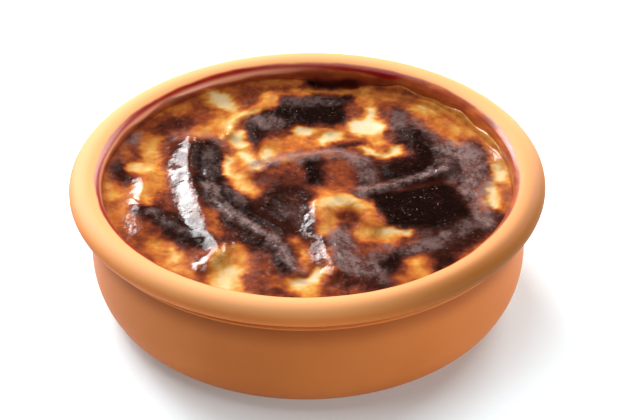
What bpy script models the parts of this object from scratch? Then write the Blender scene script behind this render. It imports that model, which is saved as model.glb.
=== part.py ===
"""Oven-baked rice pudding in its own small terracotta dish.

Metres, +Z up. The dish stands on its flat base, centred on the origin. The
pudding fills it to a few millimetres below the rim. Its browned skin lies in
folds, thick plateaus and hollows, and these are relief in the one solid.
X runs to the right and Y to the back, as the dish is seen on the table.
"""
import math

import bmesh
import bpy
import numpy as np

MM = 0.001

# Dish, outside
RIM_RADIUS = 62.5 * MM
HEIGHT = 37.3 * MM
ROLL_HALF_WIDTH = 4.3 * MM
ROLL_HALF_HEIGHT = 3.2 * MM
ROLL_END_ANGLE = math.radians(-54)
BEAD_RADIUS = 58.75 * MM
BEAD_TOP = 29.7 * MM
BEAD_BOTTOM = 28.4 * MM
BODY_TOP_RADIUS = 57.75 * MM
BODY_TOP = 27.9 * MM
BELLY_RADIUS = 57.4 * MM
BELLY_HEIGHT = 16.0 * MM
BASE_RADIUS = 45.6 * MM
BELLY_SQUARENESS = 2.2

# Dish, inside
BORE_RADIUS = 53.9 * MM
FLOOR_THICKNESS = 5.5 * MM
INNER_CORNER = 11.0 * MM
TURNS = 96

# Pudding
CLEARANCE = 0.3 * MM
SKIN_LEVEL = 30.2 * MM
SKIN_REACH = 2.7 * MM
SKIN_CELLS = 46
EDGE_CLIMB = 0.7 * MM
EDGE_CLIMB_WIDTH = 2.5 * MM
LOWEST_SKIN_RING = 24.0 * MM
CORNER_RINGS = 3
STEPS_PER_SPAN = 5

# Folds of the skin, in millimetres: the crest's points, how far it rises, and
# its half width on the left and on the right of the way that the points run.
FOLDS = (
    (((-31, 27), (-31.5, 18), (-31, 10), (-29, 1), (-27, -9), (-25, -18), (-22.5, -26)), 2.6, 2.2, 3.4),
    (((-22.5, -26), (-25, -31), (-28.5, -35)), 1.4, 1.5, 1.9),
    (((-43, 9), (-43.5, 2), (-45, -5), (-44.5, -12), (-43, -18)), 1.5, 3.0, 2.2),
    (((-27, 20), (-26.5, 12), (-26, 4), (-23.5, -4), (-19, -12), (-13, -18), (-9, -24), (-6, -31),
      (-2.5, -37)), 1.3, 1.6, 1.6),
    (((-22, 3), (-19, -4), (-14, -10), (-8, -17), (-4, -24)), 0.7, 1.3, 1.3),
    (((-15, 10), (-10, 13.5), (-4, 16), (2, 18), (8, 18), (12, 16), (16, 11), (17, 5)), 1.3, 1.6, 2.2),
    (((2, -16), (2.5, -9), (7, -4), (12, -5), (15.5, -10), (17, -17)), 1.9, 2.4, 2.8),
    (((2.5, -14), (2, -20), (2.5, -30), (4, -36)), 1.2, 1.9, 2.2),
    (((14, -3), (20, 0), (26, 2.5), (33, 5), (38, 9), (39, 13)), 1.3, 1.6, 2.0),
    (((40, 12), (43, 6), (45, -2), (47, -12)), 1.0, 2.0, 1.8),
    (((26, 30), (32, 25), (36, 19), (36, 12), (35, 8)), 1.0, 1.8, 1.8),
    (((-10, 47), (-11.5, 42), (-17, 38), (-20, 34), (-20.5, 28)), 1.3, 1.6, 1.6),
    (((-40, -10), (-34, -16), (-29, -22)), 0.8, 1.8, 1.8),
)

# Swells and hollows, in millimetres: the middle line's points, the half width
# and the height, which is below zero for a hollow.
SWELLS = (
    (((-6, 41), (6, 36)), 9.0, 1.0),
    (((-13, 33), (-12, 26)), 4.0, 0.6),
    (((31, 24), (32, 14), (26, 10)), 6.0, 0.9),
    (((21, -4), (28, -8), (38, -12)), 8.5, 1.1),
    (((-6, 8), (4, 8), (9, 3), (0, -10), (-4, -18)), 7.5, 0.9),
    (((-39, -10), (-31, -20)), 6.0, 0.8),
    (((44, -17), (30, -29), (14, -41)), 6.0, 0.5),
    (((-36, 33), (-31, 33)), 4.5, 0.4),
    (((17, 37), (16, 31), (19, 26)), 4.5, -1.0),
    (((15, 19), (20, 15.5), (25, 21)), 2.2, -0.9),
    (((-9, 18), (-2, 28), (6, 26)), 3.0, -0.8),
    (((-18, 25), (-17, 18), (-13, 12)), 2.6, -0.8),
    (((-21, 15), (-21, 9)), 2.4, -0.7),
    (((15, -20), (26, -20)), 3.2, -0.8),
    (((-18, -28), (-20, -42)), 4.5, -0.8),
    (((-4, -42), (4, -36)), 2.6, -0.6),
    (((48, -8), (49, 8)), 3.0, -0.7),
    (((-45, 13), (-39, 24)), 4.0, -0.6),
    (((-37, -31), (-36, -22)), 4.0, -0.5),
    (((4, 51), (12, 51)), 2.8, -2.2),
    (((10.5, -12), (12, -18)), 2.9, -1.5),
)


def srgb(red, green, blue):
    """Turn a colour seen on screen, 0 to 255, into the shader's linear colour."""
    channels = [c / 255 for c in (red, green, blue)]
    return [c / 12.92 if c <= 0.04045 else ((c + 0.055) / 1.055) ** 2.4 for c in channels] + [1.0]


def make_material(name, colour, roughness):
    """A Principled material of one colour."""
    material = bpy.data.materials.new(name)
    material.use_nodes = True
    shader = material.node_tree.nodes["Principled BSDF"]
    shader.inputs["Base Color"].default_value = colour
    shader.inputs["Roughness"].default_value = roughness
    shader.inputs["Metallic"].default_value = 0.0
    material.diffuse_color = colour
    return material


def arc(centre, half_width, half_height, start, end, count, squareness=2.0):
    """Points of an oval arc in the profile's plane, fuller in its corners as squareness passes 2."""
    points = []
    for angle in np.linspace(start, end, count):
        across = math.copysign(abs(math.cos(angle)) ** (2 / squareness), math.cos(angle))
        up = math.copysign(abs(math.sin(angle)) ** (2 / squareness), math.sin(angle))
        points.append((centre[0] + half_width * across, centre[1] + half_height * up))
    return points


def dish_profile():
    """Half section of the dish, from the inner floor's centre over the rim to the base's centre."""
    corner = (BORE_RADIUS - INNER_CORNER, FLOOR_THICKNESS + INNER_CORNER)
    roll = (RIM_RADIUS - ROLL_HALF_WIDTH, HEIGHT - ROLL_HALF_HEIGHT)
    points = [(0, FLOOR_THICKNESS)]
    points += arc(corner, INNER_CORNER, INNER_CORNER, -math.pi / 2, 0, 5)
    points += arc(roll, ROLL_HALF_WIDTH, ROLL_HALF_HEIGHT, math.pi, ROLL_END_ANGLE, 14)
    points += [(BEAD_RADIUS, BEAD_TOP), (BEAD_RADIUS, BEAD_BOTTOM), (BODY_TOP_RADIUS, BODY_TOP)]
    points += arc((BASE_RADIUS, BELLY_HEIGHT), BELLY_RADIUS - BASE_RADIUS, BELLY_HEIGHT,
                  0, -math.pi / 2, 7, BELLY_SQUARENESS)
    return points + [(0, 0)]


def make_dish(collection, material):
    """The dish: its half section turned round the Z axis."""
    points = dish_profile()
    mesh = bpy.data.meshes.new("dish")
    mesh.from_pydata([(x, 0, z) for x, z in points], [(i, i + 1) for i in range(len(points) - 1)], [])
    mesh.materials.append(material)
    dish = bpy.data.objects.new("dish", mesh)
    collection.objects.link(dish)
    turn = dish.modifiers.new("turn", "SCREW")
    turn.axis = "Z"
    turn.angle = 2 * math.pi
    turn.steps = TURNS
    turn.render_steps = TURNS
    turn.use_merge_vertices = True
    turn.merge_threshold = 0.0001
    turn.use_smooth_shade = True
    return dish


def smooth_path(points):
    """A Catmull-Rom curve through hand-placed points, as a list of short steps."""
    p = np.array(points, dtype=float)
    p = np.vstack([2 * p[0] - p[1], p, 2 * p[-1] - p[-2]])
    path = []
    for a, b, c, d in zip(p[:-3], p[1:-2], p[2:-1], p[3:]):
        for t in np.arange(STEPS_PER_SPAN) / STEPS_PER_SPAN:
            path.append(0.5 * (2 * b + (c - a) * t + (2 * a - 5 * b + 4 * c - d) * t ** 2
                               + (3 * b - a - 3 * c + d) * t ** 3))
    return np.array(path + [p[-2]])


def distance_to(x, y, path):
    """How far each place is from the path, and its side: 1 on the left, -1 on the right."""
    nearest = np.full_like(x, np.inf)
    side = np.zeros_like(x)
    for (ax, ay), (bx, by) in zip(path[:-1], path[1:]):
        dx, dy = bx - ax, by - ay
        along = np.clip(((x - ax) * dx + (y - ay) * dy) / (dx * dx + dy * dy), 0, 1)
        off_x, off_y = x - ax - along * dx, y - ay - along * dy
        gap = np.hypot(off_x, off_y)
        closer = gap < nearest
        turned = (dx * off_y - dy * off_x) / (math.hypot(dx, dy) * np.maximum(gap, 1e-9))
        nearest = np.where(closer, gap, nearest)
        side = np.where(closer, turned, side)
    return nearest, side


def skin_height(x, y):
    """Height of the pudding's skin at each place, in metres.

    Folds are ridges with a bell-shaped section, swells are bells with a flat
    top, and their sum is held within the skin's reach by a hyperbolic tangent.
    """
    relief = np.zeros_like(x)
    for points, rise, left, right in FOLDS:
        gap, side = distance_to(x, y, smooth_path(points) * MM)
        width = ((left + right) / 2 + (left - right) / 2 * side) * MM
        relief += rise * MM * np.exp(-(gap / width) ** 2)
    for points, width, rise in SWELLS:
        gap, side = distance_to(x, y, smooth_path(points) * MM)
        relief += rise * MM * np.exp(-(gap / (width * MM)) ** 3)
    from_wall = BORE_RADIUS - np.hypot(x, y)
    climb = EDGE_CLIMB * np.exp(-from_wall / EDGE_CLIMB_WIDTH)
    return SKIN_LEVEL + SKIN_REACH * np.tanh(relief / SKIN_REACH) + climb


def square_to_disc(u, v):
    """Carry a square from -1 to 1 onto the unit disc, each ring of squares to a circle."""
    wide = np.abs(u) > np.abs(v)
    radius = np.where(wide, u, v)
    across = np.where(wide, v, u) / np.where(radius == 0, 1, radius) * math.pi / 4
    angle = np.where(wide, across, math.pi / 2 - across)
    return radius * np.cos(angle), radius * np.sin(angle)


def lower_rings():
    """Radius and height of the rings that run down the pudding's side and round its lower corner."""
    radius = INNER_CORNER - CLEARANCE
    corner = (BORE_RADIUS - INNER_CORNER, FLOOR_THICKNESS + INNER_CORNER)
    rings = [(BORE_RADIUS - CLEARANCE, LOWEST_SKIN_RING)]
    return rings + arc(corner, radius, radius, 0, -math.pi / 2, CORNER_RINGS + 1)


def make_pudding(collection, material):
    """The pudding: a grid laid over the dish as its skin, with its edge carried down to the underside."""
    shape = bmesh.new()
    bmesh.ops.create_grid(shape, x_segments=SKIN_CELLS, y_segments=SKIN_CELLS, size=1.0)
    flat = np.array([v.co[:2] for v in shape.verts])
    x, y = square_to_disc(flat[:, 0], flat[:, 1])
    x, y = x * (BORE_RADIUS - CLEARANCE), y * (BORE_RADIUS - CLEARANCE)
    for vertex, place in zip(shape.verts, np.stack([x, y, skin_height(x, y)], axis=1)):
        vertex.co = place

    rim = [edge for edge in shape.edges if edge.is_boundary]
    for radius, height in lower_rings():
        grown = bmesh.ops.extrude_edge_only(shape, edges=rim)["geom"]
        rim = [item for item in grown if isinstance(item, bmesh.types.BMEdge)]
        for vertex in (item for item in grown if isinstance(item, bmesh.types.BMVert)):
            angle = math.atan2(vertex.co.y, vertex.co.x)
            vertex.co = (radius * math.cos(angle), radius * math.sin(angle), height)
    underside = bmesh.ops.contextual_create(shape, geom=rim)["faces"]
    bmesh.ops.poke(shape, faces=underside)
    bmesh.ops.recalc_face_normals(shape, faces=shape.faces)

    mesh = bpy.data.meshes.new("pudding")
    shape.to_mesh(mesh)
    shape.free()
    mesh.shade_smooth()
    mesh.set_sharp_from_angle(angle=math.radians(50))
    mesh.materials.append(material)
    pudding = bpy.data.objects.new("pudding", mesh)
    collection.objects.link(pudding)
    return pudding


def main():
    for old in list(bpy.data.objects):
        bpy.data.objects.remove(old, do_unlink=True)
    collection = bpy.data.collections.new("rice_pudding")
    bpy.context.scene.collection.children.link(collection)
    terracotta = make_material("terracotta", srgb(205, 133, 84), 0.55)
    baked_skin = make_material("baked_skin", srgb(142, 76, 38), 0.3)
    make_dish(collection, terracotta)
    make_pudding(collection, baked_skin)


main()
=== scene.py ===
# %% [markdown]
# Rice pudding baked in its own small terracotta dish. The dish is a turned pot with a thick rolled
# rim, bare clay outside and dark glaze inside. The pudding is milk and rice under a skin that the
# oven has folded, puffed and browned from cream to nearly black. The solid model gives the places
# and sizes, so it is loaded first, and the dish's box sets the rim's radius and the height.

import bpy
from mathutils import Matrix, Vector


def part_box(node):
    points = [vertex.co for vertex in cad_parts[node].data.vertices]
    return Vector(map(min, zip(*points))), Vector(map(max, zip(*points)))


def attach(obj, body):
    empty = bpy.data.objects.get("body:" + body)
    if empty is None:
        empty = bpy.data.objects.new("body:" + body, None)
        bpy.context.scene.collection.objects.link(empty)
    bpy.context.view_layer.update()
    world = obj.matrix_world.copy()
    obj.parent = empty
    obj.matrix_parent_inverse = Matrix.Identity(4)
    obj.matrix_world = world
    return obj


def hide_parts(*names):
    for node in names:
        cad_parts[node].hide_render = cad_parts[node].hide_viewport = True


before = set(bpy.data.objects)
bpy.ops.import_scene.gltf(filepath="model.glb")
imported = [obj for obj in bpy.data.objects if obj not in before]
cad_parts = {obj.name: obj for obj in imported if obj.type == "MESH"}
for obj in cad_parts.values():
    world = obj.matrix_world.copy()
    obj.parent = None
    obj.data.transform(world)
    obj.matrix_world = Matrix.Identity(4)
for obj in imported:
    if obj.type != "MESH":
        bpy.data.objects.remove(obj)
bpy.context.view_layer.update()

# %% [markdown]
# Everything below works in metres, but kitchen things are easier to think of in millimetres. X runs
# to the right, Y away from the eye and Z up, from the middle of the dish's base.

# %% Modules and units
import math

import bpy
import numpy as np
from mathutils import Euler, Vector

MM = 0.001
dish_low, dish_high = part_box("dish")
rim_radius = dish_high.x
dish_height = dish_high.z
print("rim radius", round(rim_radius / MM, 2), "mm, height", round(dish_height / MM, 2), "mm")

# %% [markdown]
# The camera stands three quarters of a metre away and looks down by about 34 degrees through a long
# lens, which keeps the round rim nearly an even oval. It is turned a little about its own axis,
# because the dish in the picture leans by less than a degree.

# %% Camera
CAMERA_PLACE = (0.0, -616.9 * MM, 445.4 * MM)
CAMERA_LENS = 163.8
SENSOR_WIDTH = 36.0
NEAR_LIMIT = 10 * MM
CAMERA_TILT = 34.29
CAMERA_TURN = -0.071
CAMERA_LEAN = -0.83


def make_camera():
    """A camera at the pictured angle: down by the tilt, aside by the turn, then leaning."""
    data = bpy.data.cameras.new("camera")
    data.lens = CAMERA_LENS
    data.sensor_width = SENSOR_WIDTH
    data.clip_start = NEAR_LIMIT
    camera = bpy.data.objects.new("camera", data)
    lean = Euler((0, 0, math.radians(CAMERA_LEAN))).to_matrix()
    look = Euler((math.radians(90 - CAMERA_TILT), 0, math.radians(CAMERA_TURN))).to_matrix()
    camera.matrix_world = (look @ lean).to_4x4()
    camera.location = CAMERA_PLACE
    bpy.context.scene.collection.objects.link(camera)
    bpy.context.scene.camera = camera


make_camera()
print("camera:", CAMERA_LENS, "mm lens, looking down by", CAMERA_TILT, "degrees")

# %% [markdown]
# Shader maths reads best as plain arithmetic. A node's output is wrapped in a small class whose
# operators add Math nodes, and one method makes every other node from its type, its settings and
# the values or links of its sockets.

# %% Sockets that do arithmetic


class Socket:
    """One output of a node. Sums, products and powers of sockets add Math nodes to its tree."""

    def __init__(self, graph, output):
        self.graph = graph
        self.output = output

    def math(self, operation, first, second=0.0):
        return self.graph.node("ShaderNodeMath", {"operation": operation}, {0: first, 1: second})

    def __add__(self, other):
        return self.math("ADD", self, other)

    __radd__ = __add__

    def __sub__(self, other):
        return self.math("SUBTRACT", self, other)

    def __rsub__(self, other):
        return self.math("SUBTRACT", other, self)

    def __mul__(self, other):
        return self.math("MULTIPLY", self, other)

    __rmul__ = __mul__

    def __pow__(self, other):
        return self.math("POWER", self, other)


class Graph:
    """The node tree of one new material, which starts with a Principled shader."""

    def __init__(self, name):
        self.material = bpy.data.materials.new(name)
        self.material.use_nodes = True
        self.tree = self.material.node_tree
        self.shader = self.tree.nodes["Principled BSDF"]

    def node(self, kind, settings=None, inputs=None, output=0):
        """Add a node, apply its settings, then fill or link its sockets, and return one output."""
        node = self.tree.nodes.new(kind)
        for key, value in (settings or {}).items():
            if key == "stops":
                self.set_stops(node.color_ramp, value)
            else:
                setattr(node, key, value)
        self.fill(node, inputs or {})
        return Socket(self, node.outputs[output])

    def fill(self, node, inputs):
        """Give each named or numbered socket its value, or link it where the value is a Socket."""
        for key, value in inputs.items():
            if isinstance(value, Socket):
                self.tree.links.new(value.output, node.inputs[key])
            else:
                node.inputs[key].default_value = value

    def set_stops(self, ramp, stops):
        """Place a colour ramp's stops, each a position and a linear colour."""
        while len(ramp.elements) < len(stops):
            ramp.elements.new(1.0)
        for element, (position, colour) in zip(ramp.elements, stops):
            element.position = position
            element.color = colour

    def place(self):
        """The point's own coordinates on the piece, in metres."""
        return self.node("ShaderNodeTexCoord", output="Object")

    def axes(self):
        """The X, Y and Z of the point's place, as three sockets of one node."""
        split = self.node("ShaderNodeSeparateXYZ", {}, {0: self.place()})
        return [Socket(self, output) for output in split.output.node.outputs]

    def attribute(self, name):
        """A number that the mesh stores for each of its points."""
        return self.node("ShaderNodeAttribute", {"attribute_name": name}, output="Fac")

    def noise(self, size, detail=2.0, roughness=0.5, stretch=(1, 1, 1)):
        """Noise from 0 to 1 with lumps of about this size; a stretch below 1 draws them out."""
        spot = self.node("ShaderNodeMapping", {}, {"Vector": self.place(), "Scale": stretch})
        return self.node("ShaderNodeTexNoise", {}, {"Vector": spot, "Scale": 1 / size,
                                                    "Detail": detail, "Roughness": roughness})

    def step(self, value, start, end):
        """An eased step of the value from 0 at start to 1 at end."""
        return self.node("ShaderNodeMapRange", {"interpolation_type": "SMOOTHSTEP"},
                         {"Value": value, "From Min": start, "From Max": end})

    def mix(self, factor, first, second):
        """A blend of two colours."""
        return self.node("ShaderNodeMix", {"data_type": "RGBA"},
                         {0: factor, 6: first, 7: second}, output=2)

    def bump(self, height, distance):
        """A normal that is tilted as if the surface rose by the height times the distance."""
        return self.node("ShaderNodeBump", {}, {"Height": height, "Distance": distance})


def srgb(red, green, blue, shade=1.0):
    """A colour seen on screen, 0 to 255, as the shader's linear colour times a shade."""
    channels = np.array([red, green, blue]) / 255
    linear = np.where(channels <= 0.04045, channels / 12.92, ((channels + 0.055) / 1.055) ** 2.4)
    return (*(shade * linear).tolist(), 1.0)


# %% [markdown]
# The floor is a plain white table that glows very slightly, which keeps the shadow on it pale. The
# light is a small studio of soft panels. A broad one at the back left lights the rim and lays a
# grey sheen on the flat parts of the skin, and a smaller, lower one beside it whitens the left side
# of each fold. Another at the back right and a weak fill at the front right open the right side of
# the dish, and a wide panel overhead lightens the shadows between the folds.

# %% Floor and light
FLOOR_HALF = 3.0
FLOOR_WHITE = (208, 220, 224)
FLOOR_GLOW = 0.2
WORLD_STRENGTH = 0.07
PANEL_TARGET = (0, 0, 20 * MM)

# Each panel: its place, width and height in metres, its power in watts and its colour.
PANELS = {
    "back_panel": ((-0.36, 0.73, 0.59), 0.58, 0.45, 14.0, (1, 1, 1)),
    "right_back_panel": ((0.46, 0.64, 0.44), 0.5, 0.4, 7.5, (1, 1, 1)),
    "left_panel": ((-0.62, 0.68, 0.37), 0.36, 0.3, 5.5, (0.98, 0.96, 1.0)),
    "right_fill": ((0.9, -0.45, 0.15), 0.5, 0.25, 3.6, (1, 1, 1)),
    "top_panel": ((-0.2, 0.0, 1.1), 0.8, 0.8, 11.0, (1, 1, 1)),
}


def make_panel(name, place, width, height, power, colour):
    """A rectangular soft light whose minus Z axis is turned from its place to the dish."""
    data = bpy.data.lights.new(name, "AREA")
    data.shape = "RECTANGLE"
    data.size = width
    data.size_y = height
    data.energy = power
    data.color = colour
    lamp = bpy.data.objects.new(name, data)
    lamp.location = place
    lamp.rotation_euler = (Vector(PANEL_TARGET) - Vector(place)).to_track_quat("-Z", "Y").to_euler()
    bpy.context.scene.collection.objects.link(lamp)


def make_floor():
    """A flat white square that isn't part of the object."""
    mesh = bpy.data.meshes.new("floor")
    corners = [(-FLOOR_HALF, -FLOOR_HALF, 0), (FLOOR_HALF, -FLOOR_HALF, 0),
               (FLOOR_HALF, FLOOR_HALF, 0), (-FLOOR_HALF, FLOOR_HALF, 0)]
    mesh.from_pydata(corners, [], [(0, 1, 2, 3)])
    floor = bpy.data.objects.new("floor", mesh)
    graph = Graph("floor_white")
    graph.fill(graph.shader, {"Base Color": srgb(*FLOOR_WHITE), "Roughness": 0.8,
                              "Emission Color": (1, 1, 1, 1), "Emission Strength": FLOOR_GLOW})
    mesh.materials.append(graph.material)
    bpy.context.scene.collection.objects.link(floor)


def make_world():
    """An even white surround."""
    world = bpy.data.worlds.new("studio")
    world.use_nodes = True
    background = world.node_tree.nodes["Background"]
    background.inputs["Color"].default_value = (1, 1, 1, 1)
    background.inputs["Strength"].default_value = WORLD_STRENGTH
    bpy.context.scene.world = world


make_floor()
make_world()
for name, panel in PANELS.items():
    make_panel(name, *panel)
bpy.context.scene.view_settings.view_transform = "Standard"

# %% [markdown]
# Every new piece is worked out as arrays of points. These helpers put points and faces into a mesh
# at once, close a grid of points into a turned surface, and draw smooth curves through a few
# listed points.

# %% Mesh helpers


def make_piece(name, points, quads, triangles):
    """A smooth mesh object from whole arrays: points (n, 3), quads (m, 4), triangles (k, 3)."""
    mesh = bpy.data.meshes.new(name)
    loops = np.concatenate([quads.ravel(), triangles.ravel()]).astype(np.int32)
    sizes = np.concatenate([np.full(len(quads), 4), np.full(len(triangles), 3)])
    mesh.vertices.add(len(points))
    mesh.vertices.foreach_set("co", points.astype(np.float32).ravel())
    mesh.loops.add(len(loops))
    mesh.loops.foreach_set("vertex_index", loops)
    mesh.polygons.add(len(sizes))
    mesh.polygons.foreach_set("loop_start", (np.cumsum(sizes) - sizes).astype(np.int32))
    mesh.polygons.foreach_set("use_smooth", np.ones(len(sizes), dtype=bool))
    mesh.update(calc_edges=True)
    mesh.validate()
    piece = bpy.data.objects.new(name, mesh)
    bpy.context.scene.collection.objects.link(piece)
    print(name, "has", len(points), "points and", 2 * len(quads) + len(triangles), "triangles")
    return piece


def add_layer(piece, name, values):
    """Store one number for each point of the piece, for its material to read."""
    layer = piece.data.attributes.new(name, "FLOAT", "POINT")
    layer.data.foreach_set("value", values.astype(np.float32))


def ring_quads(first_rows, next_rows):
    """Quads that join each ring of point numbers to the next one, round and round."""
    first_next = np.roll(first_rows, -1, axis=-1)
    next_next = np.roll(next_rows, -1, axis=-1)
    return np.stack([first_rows, next_rows, next_next, first_next], axis=-1).reshape(-1, 4)


def smooth_path(points, steps=6):
    """A Catmull-Rom curve: each span between points blends its four nearest by cubics."""
    p = np.array(points, dtype=float)
    p = np.vstack([2 * p[0] - p[1], p, 2 * p[-1] - p[-2]])
    a, b, c, d = p[:-3, None], p[1:-2, None], p[2:-1, None], p[3:, None]
    t = (np.arange(steps) / steps)[None, :, None]
    curve = 0.5 * (2 * b + (c - a) * t + (2 * a - 5 * b + 4 * c - d) * t ** 2
                   + (3 * b - a - 3 * c + d) * t ** 3)
    return np.vstack([curve.reshape(-1, p.shape[1]), p[-2]])


# %% [markdown]
# A potter turns the dish, so it is a half section carried round the Z axis. The section runs from
# the middle of the inner floor, up the wall, over the rolled rim, in under it past a small bead,
# down the body and round the foot. Nothing turned by hand is quite true, so radius and height waver
# by a tenth of a millimetre on the way round, always inwards and downwards.

# %% Dish shape
BORE_RADIUS = 53.9
FLOOR_THICKNESS = 5.5
INNER_CORNER = 11.0
ROLL_HALF_WIDTH = 4.3
ROLL_HALF_HEIGHT = 3.2
BELLY_HEIGHT = 16.0
BELLY_RADIUS = 57.4
BASE_RADIUS = 45.6
BELLY_SQUARENESS = 2.2

# The flat rings' first and last radius, inside and underneath. The straight wall starts at a height
# and stops a little below the widest part of the roll.
FLAT_FLOOR = (4, 38)
FLAT_BASE = (41, 5)
WALL_START = 26
WALL_STOP = 0.3

# Radius and height of the section under the roll: a groove, a small bead and the upper body.
UNDER_RIM = ((60.73, 31.51), (59.6, 30.95), (58.8, 30.55), (58.62, 30.15), (58.95, 29.7),
             (59.1, 29.3), (58.85, 28.9), (58.1, 28.6), (57.3, 28.3), (57.0, 27.7),
             (57.15, 26.6), (57.35, 24.5), (57.5, 20.5), (57.4, 16.0))


def arc(centre, half_width, half_height, start, end, count, squareness=2.0):
    """An oval arc from start to end degrees; its corners fill out as squareness passes 2."""
    angle = np.radians(np.linspace(start, end, count))
    across = np.sign(np.cos(angle)) * np.abs(np.cos(angle)) ** (2 / squareness)
    up = np.sign(np.sin(angle)) * np.abs(np.sin(angle)) ** (2 / squareness)
    return np.stack([centre[0] + half_width * across, centre[1] + half_height * up], axis=1)


def dish_section():
    """Radius and height of the half section in millimetres, from the inner floor to the base."""
    corner = (BORE_RADIUS - INNER_CORNER, FLOOR_THICKNESS + INNER_CORNER)
    roll = (rim_radius / MM - ROLL_HALF_WIDTH, dish_height / MM - ROLL_HALF_HEIGHT)
    floor = np.stack([np.linspace(*FLAT_FLOOR, 9), np.full(9, FLOOR_THICKNESS)], axis=1)
    wall_heights = np.linspace(WALL_START, roll[1] - WALL_STOP, 20)
    wall = np.stack([np.full(20, BORE_RADIUS), wall_heights], axis=1)
    foot = arc((BASE_RADIUS, BELLY_HEIGHT), BELLY_RADIUS - BASE_RADIUS, BELLY_HEIGHT, -1, -90, 26,
               BELLY_SQUARENESS)
    base = np.stack([np.linspace(*FLAT_BASE, 9), np.zeros(9)], axis=1)
    return np.vstack([floor, arc(corner, INNER_CORNER, INNER_CORNER, -90, 0, 14), wall,
                      arc(roll, ROLL_HALF_WIDTH, ROLL_HALF_HEIGHT, 180, -50, 56),
                      smooth_path(UNDER_RIM, 4), foot, base])


section = dish_section()
print("dish section:", len(section), "points")

# %% [markdown]
# Turning is the same for every point of the section: it goes round a circle. The rings are joined
# by quads, and a fan of triangles closes the inner floor and another the base.

# %% Turned dish
DISH_COLUMNS = 360
WAVER = 0.12
WAVER_START = 0.5
DIP_START = 25
DIP_SPAN = 8

# How radius and height waver: each wave's share, its number on the way round and its start.
RADIUS_WAVES = ((0.25, 2, 0.7), (0.15, 3, 2.1), (0.1, 7, 0.0))
HEIGHT_WAVES = ((0.3, 1, 1.3), (0.2, 4, 0.4))


def waves_round(angle, waves):
    """A half plus the sum of the waves' sines, which stays between 0 and 1."""
    total = 0.5
    for share, number, start in waves:
        total = total + share * np.sin(number * angle + start)
    return total


def make_dish():
    """Turn the section; the waver touches only what lies outside the bore and near the rim."""
    angle = np.linspace(0, 2 * math.pi, DISH_COLUMNS, endpoint=False)
    radius, height = section[:, 0][:, None], section[:, 1][:, None]
    outside = radius > BORE_RADIUS + WAVER_START
    radius = radius - WAVER * waves_round(angle, RADIUS_WAVES) * outside
    near_rim = np.clip((height - DIP_START) / DIP_SPAN, 0, 1)
    height = height - WAVER * waves_round(angle, HEIGHT_WAVES) * near_rim
    rings = np.stack([radius * np.cos(angle), radius * np.sin(angle), height], axis=-1)
    points = np.vstack([rings.reshape(-1, 3), [[0, 0, FLOOR_THICKNESS], [0, 0, 0]]]) * MM
    number = np.arange(len(section) * DISH_COLUMNS).reshape(len(section), DISH_COLUMNS)
    quads = ring_quads(number[:-1], number[1:])
    middle, under = np.full(DISH_COLUMNS, number.size), np.full(DISH_COLUMNS, number.size + 1)
    top_fan = np.stack([middle, number[0], np.roll(number[0], -1)], axis=1)
    base_fan = np.stack([under, np.roll(number[-1], -1), number[-1]], axis=1)
    return make_piece("terracotta_dish", points, quads, np.vstack([top_fan, base_fan]))


dish = make_dish()

# %% [markdown]
# Nothing in a baked skin runs straight or has a clean edge. A smooth noise, made from random slopes
# on a square lattice, bends the listed lines, crumples the thick skin and mottles its browning.
# Seeds are fixed, so the noise is the same on each run.

# %% Noise from a lattice
LATTICE_SIZE = 64
NOISE_GAIN = 1.6


def ease(t):
    """A step from 0 to 1 that starts and ends flat: 3t^2 - 2t^3 on the clipped value."""
    t = np.clip(t, 0, 1)
    return t * t * (3 - 2 * t)


def lattice_noise(x, y, cell, seed):
    """Gradient noise from about -1 to 1: random slopes at the lattice corners, blended."""
    random = np.random.default_rng(seed)
    turn = random.uniform(0, 2 * math.pi, (LATTICE_SIZE, LATTICE_SIZE))
    u, v = x / cell, y / cell
    i, j = np.floor(u).astype(int), np.floor(v).astype(int)
    u, v = u - i, v - j

    def corner(di, dj):
        angle = turn[(i + di) % LATTICE_SIZE, (j + dj) % LATTICE_SIZE]
        return np.cos(angle) * (u - di) + np.sin(angle) * (v - dj)

    low = corner(0, 0) * (1 - ease(u)) + corner(1, 0) * ease(u)
    high = corner(0, 1) * (1 - ease(u)) + corner(1, 1) * ease(u)
    return NOISE_GAIN * (low * (1 - ease(v)) + high * ease(v))


def bend(x, y, waves):
    """The places moved by noise; each wave has a reach, a cell, and a seed for x and one for y."""
    bent_x, bent_y = x, y
    for reach, cell, seed_x, seed_y in waves:
        bent_x = bent_x + reach * lattice_noise(x, y, cell, seed_x)
        bent_y = bent_y + reach * lattice_noise(x, y, cell, seed_y)
    return bent_x, bent_y


def part_of_round(angle, middle, start, span):
    """1 around the middle, in degrees, and 0 where the cosine of the gap is under start."""
    return ease((np.cos(angle - math.radians(middle)) - start) / span)


print("noise lattice:", LATTICE_SIZE, "by", LATTICE_SIZE, "slopes")

# %% [markdown]
# The skin's main form is the one that the solid model has: folds with a bell-shaped section along
# listed crest lines, broad swells of thick skin, and hollows where it sank. Each line is a few
# points in millimetres, seen from above, and a slight waver keeps the folds from being tubes.

# %% Folds and swells of the skin
FOLD_BEND = ((0.5, 4.0, 41, 42),)

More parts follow.
